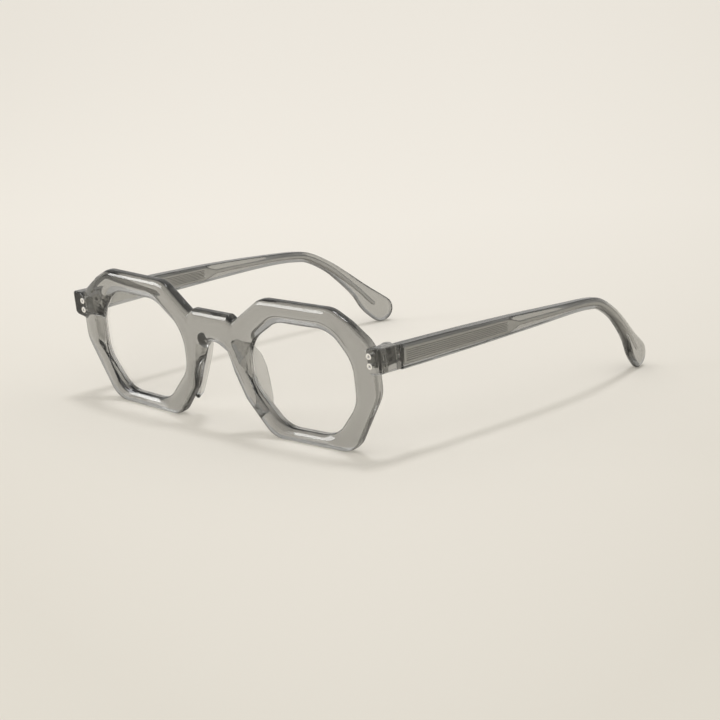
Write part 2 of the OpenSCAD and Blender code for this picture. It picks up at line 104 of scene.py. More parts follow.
class TempleSizes(bpy.types.PropertyGroup):
    thickness: length("Thickness", "Thickness of a temple", 4.2)
    reach: length("Reach", "Length of a temple behind the hinge", 136.8)
    height: length("Height", "Height of a temple at the hinge", 7.9)
    waist: length("Waist", "Height of a temple before its bend", 4)
    waist_place: length("Waist place", "Distance of the waist behind the hinge", 82)
    bend_place: length("Bend place", "Distance of the bend behind the hinge", 96)
    tip: length("Tip", "Radius of the temple's rounded tip", 4.8)
    bow: length("Bow", "Outward bow of the temple", 0.8)
    tip_in: length("Tip in", "Inward reach of the tip", 9.4)
    edge: length("Edge", "Radius of the temple's polished edges", 0.8)
    core_length: length("Core length", "Length of the wide part of the core", 50.3)
    core_point: length("Core point", "Length of the point between the wide part and the wire", 5.2)
    core_height: length("Core height", "Height of the wide part at the hinge", 5.4)
    wire: length("Wire", "Height of the wire", 1.25)
    core_thickness: length("Core thickness", "Thickness of the core", 1.2)
    engraving: length("Engraving", "Depth of the engraved lines", 0.3)


class AcetateLook(bpy.types.PropertyGroup):
    surface: colour("Surface", "Colour of the front's faces", (0.56, 0.56, 0.553))
    pad_surface: colour("Pad surface", "Colour of the pads' surface", (0.7, 0.7, 0.69))
    temple_surface: colour("Temple surface", "Colour of the temples' faces", (0.63, 0.63, 0.62))
    tint: colour("Tint", "Colour that the inside lets through", (0.2, 0.2, 0.17))
    density: amount("Density", "How fast the inside of the front tints light, by the metre", 55)
    temple_density: amount("Temple density", "The same for the temples", 95)
    pad_density: amount("Pad density", "The same for the pads", 45)
    shade: colour("Shade", "Tint of the light that falls through", (0.66, 0.655, 0.63))
    polish: amount("Polish", "Roughness of the polished surface", 0.03)


class StageLook(bpy.types.PropertyGroup):
    # The floor's two colours carry a painted pool of light: lighter behind the glasses, painted shade
    # before them
    floor: colour("Floor", "Colour of the floor behind the glasses", (0.885, 0.848, 0.787))
    near_floor_painted_shade: colour("Near floor", "Colour of the floor before the glasses", (0.75, 0.715, 0.645))
    sky: amount("Sky", "Strength of the light from all round", 0.7)
    overhead: amount("Overhead", "Strength of the soft light from above", 0.8)
    softness: angle("Softness", "Width of the overhead light as the glasses see it", 11)
    card: amount("Card", "Power of the soft card to the side", 2.2, "POWER")


def add(name, data):
    """An object for some data, linked to the scene."""
    thing = bpy.data.objects.new(name, data)
    bpy.context.scene.collection.objects.link(thing)
    return thing


def millimetres(group):
    """The lengths of a property group in millimetres, and its angles and numbers as they are."""
    sizes = {}
    for name, prop in group.bl_rna.properties.items():
        if name not in ("rna_type", "name"):
            value = getattr(group, name)
            sizes[name] = value / MM if getattr(prop, "unit", "") == "LENGTH" else value
    return type("Sizes", (), sizes)


# Distances, in millimetres and on numpy arrays, are below zero in the material


def polygon_distance(x, y, corners):
    """Distance to a closed polygon, below zero inside it."""
    nearest, inside = np.inf, False
    for (ax, ay), (bx, by) in zip(corners, np.roll(corners, -1, axis=0)):
        ex, ey = bx - ax, by - ay
        px, py = x - ax, y - ay
        along = np.clip((px * ex + py * ey) / (ex * ex + ey * ey), 0, 1)
        nearest = np.minimum(nearest, (px - ex * along) ** 2 + (py - ey * along) ** 2)
        if ay != by:
            crosses = ((ay > y) != (by > y)) & (x < ax + (y - ay) * ex / ey)
            inside = inside ^ crosses
    return np.where(inside, -1, 1) * np.sqrt(nearest)


def inset(corners, by):
    """A polygon with each side moved inwards. Its corners may run either way round."""
    p = np.asarray(corners, float)
    area = np.sum(p[:, 0] * np.roll(p[:, 1], -1) - np.roll(p[:, 0], -1) * p[:, 1])
    way = np.roll(p, -1, axis=0) - p
    way /= np.linalg.norm(way, axis=1)[:, None]
    inward = np.stack([-way[:, 1], way[:, 0]], axis=1) * np.sign(area)
    moved = p + inward * by
    out = []
    for i in range(len(p)):
        j = i - 1
        gap = moved[i] - moved[j]
        cross = way[j][0] * way[i][1] - way[j][1] * way[i][0]
        out.append(moved[j] + way[j] * (gap[0] * way[i][1] - gap[1] * way[i][0]) / cross)
    return np.array(out)


def rounded_polygon(corners, radius):
    """The distance to a polygon with rounded corners, as a function of two coordinates."""
    inner = inset(corners, radius)
    return lambda x, y: polygon_distance(x, y, inner) - radius


def rounded_both(a, b, radius):
    """What lies in both of two shapes, with a round of that radius along their edge."""
    a, b = a + radius, b + radius
    return np.minimum(np.maximum(a, b), 0) + np.hypot(np.maximum(a, 0), np.maximum(b, 0)) - radius


def joined(a, b, fillet):
    """What lies in either of two shapes, with a fillet where they meet."""
    blend = np.clip(0.5 + 0.5 * (b - a) / fillet, 0, 1)
    return b + (a - b) * blend - fillet * blend * (1 - blend)


def sheet(outline, face, back, front_edge, back_edge):
    """What lies inside an outline and between a sheet's two faces, with both of its edges rounded."""
    front = rounded_both(outline, face, front_edge)
    return np.maximum(front, rounded_both(outline, back, back_edge))


FALL_END = 1.1  # a fall goes on past its edge for a tenth of its width


def fall(inside, depth, width):
    """Depth that a face has fallen to at a distance inside an edge."""
    return depth * np.clip(1 - inside / width, 0, FALL_END) ** 2


def net(field):
    """The surface between the inside and the outside of a grid: its points, in cells, and its faces.

    Each cell that the surface crosses has one point, in the middle of the crossings on its edges.
    """
    inside = field < 0
    cells = tuple(n - 1 for n in field.shape)
    total, crossings = np.zeros(cells + (3,)), np.zeros(cells)
    quads = []
    for axis in range(3):
        first = [slice(None)] * 3
        second = [slice(None)] * 3
        first[axis], second[axis] = slice(None, -1), slice(1, None)
        f0, f1 = field[tuple(first)], field[tuple(second)]
        cut = inside[tuple(first)] != inside[tuple(second)]
        part = np.where(cut, f0 / np.where(cut, f0 - f1, 1), 0)
        b, c = [k for k in range(3) if k != axis]
        for db in (0, 1):
            for dc in (0, 1):
                view = [slice(None)] * 3
                view[b] = slice(db, db + cells[b])
                view[c] = slice(dc, dc + cells[c])
                hit = cut[tuple(view)]
                crossings += hit
                total[..., axis] += part[tuple(view)]
                total[..., b] += db * hit
                total[..., c] += dc * hit
        ijk = np.argwhere(cut)
        within = (ijk[:, b] > 0) & (ijk[:, c] > 0) & (ijk[:, b] < cells[b]) & (ijk[:, c] < cells[c])
        ijk = ijk[within]
        flip = inside[tuple(ijk.T)]
        if axis == 1:
            flip = ~flip
        ring = []
        for db, dc in ((1, 1), (0, 1), (0, 0), (1, 0)):
            cell = ijk.copy()
            cell[:, b] -= db
            cell[:, c] -= dc
            ring.append(np.ravel_multi_index(cell.T, cells))
        ring = np.stack(ring, axis=1)
        ring[~flip] = ring[~flip][:, ::-1]
        quads.append(ring)
    used = np.flatnonzero(crossings.ravel())
    number = np.full(crossings.size, -1)
    number[used] = np.arange(len(used))
    middle = total.reshape(-1, 3)[used] / crossings.ravel()[used, None]
    return np.stack(np.unravel_index(used, cells), axis=1) + middle, number[np.concatenate(quads)]


SLOPE_STEP = 0.01  # millimetres over which a slope is taken
GRID_SHIFT = 0.37  # share of a step that keeps level faces off the grid's planes
PULLS = 4  # times that each point is drawn onto the surface
STEEP_LEAST = 0.25  # least square of a slope that a point is moved by


def skin(name, distance, low, high, step, place=None):
    """A mesh on the zero of a distance between two corners, with normals taken from the distance."""
    axes = []
    for i, (a, b) in enumerate(zip(low, high)):
        ticks = np.arange(np.floor(a / step) - 1, np.ceil(b / step) + 2) * step
        axes.append(ticks + GRID_SHIFT * step * (i > 0))
    grid = np.meshgrid(*axes, indexing="ij", sparse=True)
    cells, faces = net(np.broadcast_to(distance(*grid), [len(a) for a in axes]))
    points = np.array([a[0] for a in axes]) + cells * step
    for _ in range(PULLS):
        value, slope = sloped(distance, points)
        steepness = np.maximum((slope ** 2).sum(1), STEEP_LEAST)
        points -= np.clip(value / steepness, -step, step)[:, None] * slope
    normals = sloped(distance, points)[1]
    normals /= np.linalg.norm(normals, axis=1)[:, None]
    if place is not None:
        turn = np.array(place.to_3x3())
        points = points @ turn.T + np.array(place.translation)
        normals = normals @ turn.T
    return mesh_object(name, points, faces, normals)


def sloped(distance, points):
    """A distance and its slope at points."""
    x, y, z = points.T
    value = distance(x, y, z)
    slope = [distance(x + dx, y + dy, z + dz) - distance(x - dx, y - dy, z - dz)
             for dx, dy, dz in np.eye(3) * SLOPE_STEP]
    return value, np.stack(slope, axis=1) / (2 * SLOPE_STEP)


def mesh_object(name, points, faces, normals=None):
    """An object from points in millimetres."""
    mesh = bpy.data.meshes.new(name)
    faces = np.asarray(faces)
    mesh.vertices.add(len(points))
    mesh.vertices.foreach_set("co", (np.asarray(points) * MM).astype(np.float32).ravel())
    mesh.loops.add(faces.size)
    mesh.loops.foreach_set("vertex_index", faces.astype(np.int32).ravel())
    mesh.polygons.add(len(faces))
    mesh.polygons.foreach_set("loop_start", np.arange(0, faces.size, faces.shape[1], dtype=np.int32))
    mesh.update(calc_edges=True)
    mesh.validate()
    mesh.shade_smooth()
    if normals is not None:
        mesh.normals_split_custom_set_from_vertices(normals.astype(np.float32))
    return add(name, mesh)


# Shader trees


class Value:
    """A socket in an expression on numbers: each operation on it adds a Math node."""

    def __init__(self, tree, socket):
        self.tree, self.socket = tree, socket

    def math(self, operation, other, turned=False):
        terms = {0: other, 1: self} if turned else {0: self, 1: other}
        node = self.tree.node("ShaderNodeMath", {"operation": operation}, terms)
        return Value(self.tree, node.outputs[0])

    def __add__(self, other):
        return self.math("ADD", other)

    def __sub__(self, other):
        return self.math("SUBTRACT", other)

    def __rsub__(self, other):
        return self.math("SUBTRACT", other, turned=True)

    def __mul__(self, other):
        return self.math("MULTIPLY", other)

    def __truediv__(self, other):
        return self.math("DIVIDE", other)

    def __pow__(self, other):
        return self.math("POWER", other)

    def clipped(self):
        return self.math("MAXIMUM", 0).math("MINIMUM", 1)

    __radd__ = __add__
    __rmul__ = __mul__


class Finish:
    """A material while its tree is being drawn."""

    def __init__(self, name):
        self.material = bpy.data.materials.new(name)
        self.material.use_nodes = True
        self.tree = self.material.node_tree
        self.tree.nodes.clear()
        self.output = self.node("ShaderNodeOutputMaterial")

    def node(self, kind, settings=None, values=None):
        """Adds a node: its settings first, then its sockets' values or links, by name or number."""
        node = self.tree.nodes.new(kind)
        for key, value in (settings or {}).items():
            setattr(node, key, value)
        for key, value in (values or {}).items():
            socket = node.inputs[key]
            if isinstance(value, Value):
                value = value.socket
            if isinstance(value, bpy.types.NodeSocket):
                self.tree.links.new(value, socket)
            else:
                socket.default_value = value
        return node

    def place(self):
        """The place on the piece in metres, as the object holds it."""
        return self.node("ShaderNodeTexCoord").outputs["Object"]

    def stretched(self, scale):
        """The same place with each axis scaled."""
        values = {"Vector": self.place(), "Scale": scale}
        return self.node("ShaderNodeMapping", {}, values).outputs[0]

    def noise(self, scale, detail, vector=None):
        """Soft noise from 0 to 1, with that many patches to a metre."""
        values = {"Vector": vector or self.place(), "Scale": scale, "Detail": detail}
        return Value(self, self.node("ShaderNodeTexNoise", {}, values).outputs["Fac"])

    def bump(self, height, distance):
        """A normal from a height from 0 to 1, whose full step is a distance in metres."""
        values = {"Height": height, "Distance": distance}
        return self.node("ShaderNodeBump", {}, values).outputs[0]

    def blend(self, factor, a, b):
        """A colour between two colours."""
        values = {0: factor, 6: a, 7: b}
        return self.node("ShaderNodeMix", {"data_type": "RGBA"}, values).outputs[2]

    def surface(self, socket):
        self.tree.links.new(socket, self.output.inputs["Surface"])
        return self.material


# Painted light and shade on a clear sheet by the way its surface faces, as shares of the light that
# passes it
SIDE_PAINTED_LIGHT = (0.95, 0.95, 0.945)  # painted light at the sides, which look pale
TOP_PAINTED_SHADE = (0.3, 0.3, 0.295)  # painted shade at the top and the underside
SIDE_EDGE_PAINTED_SHADE = (0.4, 0.4, 0.395)  # painted shade where a face turns into a side
EDGE_PAINTED_SHADE = (0.015, 0.015, 0.014)  # the darkest painted shade, where a face turns into the top or the underside
TOP_GAIN = 1.5  # how soon a wall that leans upwards counts as top
FACE_GAIN, FACE_START = 1.6, 0.3  # how soon a rounded edge counts as face
EDGE_GAIN = 12.2  # makes the weight of an edge's painted shade 1 where it is greatest
END_PAINTED_SHADE_SHARE = 0.6  # painted shade on the end pieces: their colour as a share of the faces'
END_STARTS = 66.4  # distance from the middle, in millimetres, where the end pieces stand out
FACING_BACK = 1  # number of the axis across the front's sheet
FACING_SIDE = 0  # number of the axis across a temple's sheet

CLOUD_SHARE = 0.97  # the darkest patch of a clear surface as a share of its colour
CLOUDS, WEAR, SPOTS = 55, 900, 700  # patches to a metre of colour, of roughness and of metal's colour
WAVES, FINE_WAVES, FINE_SHARE = 160, 1400, 0.08  # waves to a metre, and the fine ones' height
WAVE_STEP = 0.001  # metres that a wave of height 1 stands up
ACETATE_RIPPLE = 0.01  # height of the waves on polished acetate
ACETATE_IOR, GLASS_IOR = 1.49, 1.5
ACETATE_SHINE, GLASS_SHINE = 0.5, 0.15
GLASS_SHADE = 0.96  # share of the light that falls through a lens
WEAR_LEAST, WEAR_RANGE = 0.7, 0.6  # shares of a clear surface's roughness: the least and the range

PAINTED_SHADE_WEIGHT, PAINTED_SHADE_SHARE = 0.45, 0.12  # how far painted shade darkens metal, and its colour's share
BRUSH_LEAST, BRUSH_RANGE = 0.75, 0.5  # shares of metal's roughness: the least and the range
BRUSH_SHARE, SPOT_SHARE = 0.6, 0.4  # what brushing and spots give to metal's colour
METALS = {  # two colours, roughness, brush streaks to a metre and their scale on each axis, their depth
    "hinge_steel": ((0.30, 0.30, 0.29), (0.5, 0.5, 0.48), 0.35, 900, (1, 1, 6), 0.00002),
    "rivet_silver": ((0.9, 0.89, 0.87), (0.97, 0.96, 0.94), 0.22, 2000, (1, 1, 1), 0.00001),
    "core_metal": ((0.9, 0.89, 0.87), (0.98, 0.97, 0.95), 0.35, 500, (8, 0.3, 8), 0.00002),
}


def opaque(rgb, part=1):
    """A share of a colour, as sockets take it."""
    return (*(c * part for c in rgb), 1.0)


def painted_sheet_light_and_shade(f, face, through):
    """Paints light and shade on a clear sheet by the way its surface faces, from its faces' colour.

    The sides get painted light, the top and the underside painted shade, the edges along them the
    darkest.
    The number of the axis across the sheet is given by through.
    """
    # Which way the surface faces picks its painted light or painted shade
    way = f.node("ShaderNodeTexCoord").outputs["Normal"]
    ways = f.node("ShaderNodeSeparateXYZ", {}, {0: way})
    faces, top = (Value(f, ways.outputs[i]) for i in (through, 2))
    level = (top * top * TOP_GAIN).clipped()
    side = f.blend(level, opaque(SIDE_PAINTED_LIGHT), opaque(TOP_PAINTED_SHADE))
    edge = f.blend(level, opaque(SIDE_EDGE_PAINTED_SHADE), opaque(EDGE_PAINTED_SHADE))
    off = 1 - faces * faces
    side = f.blend((off * off * off * off * (1 - off) * EDGE_GAIN).clipped(), side, edge)
    return f.blend((faces * faces * FACE_GAIN - FACE_START).clipped(), side, face)


def painted_end_shade(f, tint, surface):
    """Paints shade on the end pieces, darkening them over the first millimetre in which they stand out
    of the rims.
    """
    # Painted shade, growing with the distance from the middle
    across = Value(f, f.node("ShaderNodeSeparateXYZ", {}, {0: f.place()}).outputs[0])
    out = (across.math("ABSOLUTE", 0) * (1 / MM) - END_STARTS).clipped()
    return f.blend(out, tint, opaque(surface, END_PAINTED_SHADE_SHARE))


def clear_finish(name, surface, shade, ior, shine, roughness=0.0, ripple=0.0, inside=None,
                 through=None):
    """Clear acetate or glass: it bends light, and lets lamps shine through with a shade.

    A tint and its density take light away inside. With through, the number of the axis across a
    sheet, the surface gets painted light and shade by the way it faces; the front's end pieces get
    painted shade.
    """
    f = Finish(name)
    tint = f.blend(f.noise(CLOUDS, 3), opaque(surface, CLOUD_SHARE), opaque(surface))
    # Painted light on the sides, painted shade on tops, undersides and edges
    if through is not None:
        tint = painted_sheet_light_and_shade(f, tint, through)
    # Painted shade on the front's end pieces
    if through == FACING_BACK:
        tint = painted_end_shade(f, tint, surface)
    waves = f.noise(WAVES, 2) * ripple + f.noise(FINE_WAVES, 2) * (FINE_SHARE * ripple)
    glass = f.node("ShaderNodeBsdfPrincipled", {}, {
        "Base Color": tint,
        "Roughness": f.noise(WEAR, 3) * (WEAR_RANGE * roughness) + WEAR_LEAST * roughness,
        "IOR": ior,
        "Transmission Weight": 1.0,
        "Specular IOR Level": shine,
        "Normal": f.bump(waves, WAVE_STEP),
    })
    window = f.node("ShaderNodeBsdfTransparent", {}, {"Color": opaque(shade)})
    shadow = f.node("ShaderNodeLightPath").outputs["Is Shadow Ray"]
    mix = f.node("ShaderNodeMixShader", {}, {0: shadow, 1: glass.outputs[0], 2: window.outputs[0]})
    if inside:
        values = {"Color": opaque(inside[0]), "Density": inside[1]}
        absorption = f.node("ShaderNodeVolumeAbsorption", {}, values)
        f.tree.links.new(absorption.outputs[0], f.output.inputs["Volume"])
    return f.surface(mix.outputs[0])


def metal_finish(name):
    """Bare metal with fine brushing, darkened by painted shade where its points carry it."""
    dark, light, roughness, grain, grain_scale, depth = METALS[name]
    f = Finish(name)
    # Painted shade, a weight on each point: rivets' hollows and undersides, cores' lines and bevels
    attribute = f.node("ShaderNodeAttribute", {"attribute_name": "marks"})
    marks = Value(f, attribute.outputs["Fac"]) * PAINTED_SHADE_WEIGHT
    brushed = f.noise(grain, 4, f.stretched(grain_scale))
    patches = (brushed * BRUSH_SHARE + f.noise(SPOTS, 3) * SPOT_SHARE).clipped()
    bare = f.blend(patches, opaque(dark), opaque(light))
    metal = f.node("ShaderNodeBsdfPrincipled", {}, {
        "Base Color": f.blend(marks, bare, opaque(dark, PAINTED_SHADE_SHARE)),
        "Metallic": 1.0,
        "Roughness": brushed * (BRUSH_RANGE * roughness) + BRUSH_LEAST * roughness,
        "Normal": f.bump(brushed, depth),
    })
    return f.surface(metal.outputs[0])


# The front


BASE_MIDDLE = 69.701  # from the front's own frame to the middle of the glasses
# Outlines across and up, for the wearer's left, and for the end piece also across and back
RIM = [(21.4, -0.5), (54.4, -0.5), (66.2, 19.4), (66.2, 35), (57.2, 41.7), (50.6, 45.2),
       (22.2, 45.2), (5.2, 33), (5.2, 25.5), (11.7, 11)]
OPENING = [(15.1, 16.6), (27, 4), (47.5, 4), (56.9, 15.6), (56.9, 29), (49.4, 38.2), (27.6, 38.2),
           (15.1, 29.8)]
BAR = [(-11.7, 25.3), (11.7, 25.3), (11.7, 35.4), (8, 38.1), (-8, 38.1), (-11.7, 35.4)]
END_ROOT, END_OUT = 58.6, 70.2  # where an end piece starts across, and its outer side
END_TOP, END_LEG = 35.5, 66  # height of the end piece, and where its leg begins across
END_SIDE = [(END_ROOT, END_TOP), (END_OUT, END_TOP), (END_OUT, 28.2), (68.6, 27.4), (END_ROOT, 25.8)]
END_PLAN = [(END_ROOT, 2.513), (END_OUT, 3.162), (END_OUT, 14.3), (END_LEG, 14.3),
            (END_LEG, 7.427), (END_ROOT, 7.013)]
BAR_CORNER, END_SIDE_CORNER, END_PLAN_CORNER = 0.8, 0.9, 1.3  # radii of those outlines' corners
FLAT_HALF, FLAT_BLEND = 8, 0.6  # half the flat width between the rims, and how softly they turn off
BAR_FILLET, END_FILLET = 0.5, 0.3  # where the bar and the end pieces meet the rims
ARCH_EDGE, ARCH_BACK_EDGE, OPENING_BACK_EDGE = 0.6, 0.9, 0.4  # radii, front and back
GROOVE_REACH = 0.8  # depth of the lens groove outside the opening
GROOVE_PLACE = 2.91  # depth of its middle behind the face
GROOVE_FLAT, GROOVE_SLOPE = 0.05, 0.7071  # half its flat bottom, and its walls' slope
END_SLOPE = 0.4  # fall of the end piece's top towards the rim
END_EDGE, PARTING_EDGE = 0.75, 0.12  # radii of the end piece's edges and of the parting line's
FRONT_GRID = (-70.6, -1, -0.2), (70.6, 11.6, 46), 0.42  # two corners and the step


def front_place(s):
    """The front's own frame, which leans about the floor line."""
    return Matrix.Translation((0, -BASE_MIDDLE, 0)) @ Matrix.Rotation(s.tilt, 4, "X")


def rim_place(s, side):
    """One rim's own frame inside the front's, mirrored for the wearer's right."""
    middle = Matrix.Translation((s.rim_middle, s.rim_depth, 0))
    turned = middle @ Matrix.Rotation(s.wrap, 4, "Z") @ Matrix.Translation((-s.rim_middle, 0, 0))
    return Matrix.Scale(side, 4, (1, 0, 0)) @ turned


def front_distance(s):
    """Distance to the acetate front, in its own frame."""
    rim, opening = rounded_polygon(RIM, s.corner), rounded_polygon(OPENING, s.opening_corner)
    bar = rounded_polygon(BAR, BAR_CORNER)
    end_side = rounded_polygon(END_SIDE, END_SIDE_CORNER)
    end_plan = rounded_polygon(END_PLAN, END_PLAN_CORNER)
    turn, lean = math.cos(s.wrap), math.sin(s.wrap)
    flat = s.rim_middle - (s.rim_middle - FLAT_HALF) * turn
    face = s.rim_depth - (s.rim_middle - FLAT_HALF) * lean

    def distance(x, y, z):
        ax = np.abs(x)
        along = s.rim_middle + (ax - s.rim_middle) * turn + (y - s.rim_depth) * lean
        ramp = 0.5 * ((ax - flat) + np.sqrt((ax - flat) ** 2 + FLAT_BLEND))
        depth = (y - face - ramp * math.tan(s.wrap)) * turn
        hole = opening(along, z)
        outline = joined(rim(along, z), bar(x, z), BAR_FILLET)
        arch = np.hypot(x, np.maximum(z - s.arch_height, 0)) - s.arch
        fallen = fall(-outline, s.dome, s.dome_width) + fall(arch, s.dome, s.dome_width)
        fallen = fallen + fall(hole, s.dish, s.dish_width)
        front, back = fallen - depth, depth - s.thickness
        body = sheet(outline, front, back, s.edge, s.back_edge)
        body = np.maximum(body, sheet(-arch, front, back, ARCH_EDGE, ARCH_BACK_EDGE))
        body = np.maximum(body, sheet(-hole, front, back, s.opening_edge, OPENING_BACK_EDGE))
        off_middle = np.maximum(np.abs(depth - GROOVE_PLACE) - GROOVE_FLAT, 0)
        body = np.maximum(body, -(off_middle + hole - GROOVE_REACH) * GROOVE_SLOPE)
        level = y * math.sin(s.tilt) + z * math.cos(s.tilt)
        slope = level - END_TOP + END_SLOPE * np.maximum(END_LEG - ax, 0)
        end = rounded_both(np.maximum(end_side(ax, level), slope), end_plan(ax, y), END_EDGE)
        end = rounded_both(end, y - s.parting, PARTING_EDGE)
        return np.maximum(joined(body, end, END_FILLET), -level)

    return distance


def curve_point(a, b, c, d, t):
    """The point a share of the way from b to c, on a smooth curve through four points."""
    straight = t / 2 * (c - a)
    bent = t * t / 2 * (2 * a - 5 * b + 4 * c - d)
    return b + straight + bent + t ** 3 / 2 * (3 * b - a - 3 * c + d)


def smooth_path(points, steps):
    """A smooth curve through the points of a list, from the second to the last but one."""
    p = np.asarray(points, float)
    spans = range(1, len(p) - 2)
    out = [curve_point(*p[i - 1:i + 3], k / steps) for i in spans for k in range(steps)]
    return np.array(out + [p[-2]])


def band(path, round_end=0):
    """The outline of a band along (along, across, half width), its far end half round if asked."""
    way = np.gradient(path[:, :2], axis=0)
    way /= np.linalg.norm(way, axis=1)[:, None]
    out = np.stack([-way[:, 1], way[:, 0]], axis=1) * path[:, 2:]
    one, two = path[:, :2] + out, path[::-1, :2] - out[::-1]
    centre, last = path[-1, :2], path[-1, 2]
    start = math.atan2(out[-1, 1], out[-1, 0])
    turns = start - math.pi * np.arange(1, round_end) / max(round_end, 1)
    cap = centre + last * np.stack([np.cos(turns), np.sin(turns)], axis=1)
    return np.concatenate([one, cap, two])


TEMPLE_START = 7.718 - BASE_MIDDLE  # where the temple's own length is counted from, along Y
TEMPLE_MIDDLE = 31.4  # height of the temple's middle at the hinge
SIDE_STEPS, PLAN_STEPS, TIP_STEPS = 6, 5, 16  # steps of each span of the paths, and of the tip's round
SOFTER_EDGE = 0.8  # what the temple's edges gain in radius
SOFTER_FROM, SOFTER_OVER = 60, 50  # where along the temple they begin to, and over what length
TEMPLE_GRID = (55, -1, -0.5), (72, 138, 37), 0.45
POCKET = [(55.25, 66.35), (2.05, 16.15), (29.15, 33.65)]  # room for the hinge leaf along x, y and z


def temple_paths(s):
    """The temple from the side and from above, each as points of its middle.

    Each point holds the place behind the hinge, the height or the distance out, and half the width.
    """
    z, r, waist = TEMPLE_MIDDLE, s.tip, s.waist / 2
    drop = s.bend_place + 15
    tip = s.reach - s.tip
    side = [
        (-20, z, s.height / 2), (-6, z, s.height / 2), (28, z + 0.05, s.height / 2 - 0.4),
        (57, z, s.height / 2 - 1.15), (s.waist_place, z - 0.45, waist),
        (s.bend_place - 2, z - 1.2, waist - 0.1), (s.bend_place + 5, z - 2.7, waist - 0.1),
        (drop - 1.5, z - 7.2, waist), (drop + 5.3, r + 14.2, waist + 0.45),
        (drop + 11.4, r + 8.8, r - 1.7), (tip - 4.6, r + 3.7, r - 0.4), (tip, r, r),
        (tip + 5.4, r - 3.9, r)]
    x, t = END_OUT - s.thickness / 2, s.thickness / 2
    plan = [
        (-20, x, t), (-6, x, t), (28, x + 0.6 * s.bow, t), (57, x + s.bow, t), (78, x + 0.5 * s.bow, t),
        (98, x - 0.12 * s.tip_in, t - 0.15), (115, x - 0.42 * s.tip_in, t - 0.3),
        (tip - 3.2, x - 0.8 * s.tip_in, t - 0.4), (tip + r, x - s.tip_in, t - 0.4),
        (tip + 2 * r, x - 1.15 * s.tip_in, t - 0.4), (tip + 3 * r, x - 1.3 * s.tip_in, t - 0.4)]
    return smooth_path(side, SIDE_STEPS), smooth_path(plan, PLAN_STEPS)


def temple_distance(s, front):
    """Distance to the left temple, with y counted from the temple's start."""
    side, plan = temple_paths(s)
    side_line, plan_line = band(side, TIP_STEPS), band(plan)
    turn, lean = math.cos(front.tilt), math.sin(front.tilt)
    start = front.parting + front.parting_gap

    def distance(x, y, z):
        edge = s.edge + SOFTER_EDGE * np.clip((y - SOFTER_FROM) / SOFTER_OVER, 0, 1)
        from_side, from_above = polygon_distance(y, z, side_line), polygon_distance(y, x, plan_line)
        body = rounded_both(from_side, from_above, edge)
        behind = (y + TEMPLE_START + BASE_MIDDLE) * turn + z * lean - start
        body = rounded_both(body, -behind, PARTING_EDGE)
        outside = [np.maximum(low - v, v - high) for v, (low, high) in zip((x, y, z), POCKET)]
        pocket = np.maximum(np.maximum(outside[0], outside[1]), outside[2])
        return np.maximum(body, -pocket)

    return distance


PAD_LINE = [(-13.4, -1.5), (-13.4, 3.4), (-9, 5.0), (-4, 6.1), (0.5, 6.8), (4.5, 6.7), (9, 5.0),
            (12, 1.8), (12.2, -1.5)]
PAD_ACROSS, PAD_UP = 11.6, 18  # the middle of its foot on the rim's back
PAD_LEAN, PAD_TURN = -21, -25  # degrees about Y and Z
PAD_CORNER, PAD_HALF, PAD_EDGE = 1.5, 1.15, 1.1  # its corners, half its thickness, its edges
PAD_GAP, PAD_FOOT_EDGE = 0.03, 0.1
PAD_GRID = (5, 4, 3), (23, 14, 33), 0.4


def pad_distance(s):
    """Distance to the left pad in its rim's frame: a rounded blade that stands on the rim's back."""
    lean = Matrix.Rotation(math.radians(PAD_LEAN), 4, "Y")
    turn = Matrix.Rotation(math.radians(PAD_TURN), 4, "Z")
    back = np.array((Matrix.Translation((PAD_ACROSS, s.thickness, PAD_UP)) @ lean @ turn).inverted())
    outline = rounded_polygon(PAD_LINE, PAD_CORNER)

    def distance(x, y, z):
        px, py, pz = (back[i, 0] * x + back[i, 1] * y + back[i, 2] * z + back[i, 3] for i in range(3))
        blade = rounded_both(outline(pz, py), np.abs(px) - PAD_HALF, PAD_EDGE)
        return rounded_both(blade, s.thickness + PAD_GAP - y, PAD_FOOT_EDGE)

    return distance


RIVET_PLACES = [(65, 29.45), (65, 32.55)]  # across and up in the rim's frame
RIVET_PROFILE = [(0, 5.6), (0.6, 5.6), (0.6, 0.6), (0.95, 0.45), (1.04, 0.1), (1.02, -0.08),
                 (0.92, -0.19), (0.7, -0.23), (0.52, -0.22), (0.4, -0.12), (0.25, 0.05), (0, 0.06)]
RIVET_PAINTED_SHADE = [0, 0, 0, 0.6, 0.3, 0, 0, 0, 0.1, 0.6, 0.8, 0.8]  # painted shade, one for each point of the profile: darkest in the head's hollow, dark where it meets the acetate
RIVET_STEPS = 40
RIVET_CREASE, CORE_CREASE = 35, 25  # degrees from which an edge stays sharp


def plain_mesh(name, points, faces, crease, marks):
    """An object from points in millimetres, smooth up to an angle in degrees.

    Each point has a weight of painted shade from 0 to 1, which darkens metal.
    """
    mesh = bpy.data.meshes.new(name)
    mesh.from_pydata([tuple(c * MM for c in p) for p in points], [], faces)
    mesh.attributes.new("marks", "FLOAT", "POINT").data.foreach_set("value", marks)
    mesh.shade_smooth()
    mesh.set_sharp_from_angle(angle=math.radians(crease))
    return add(name, mesh)


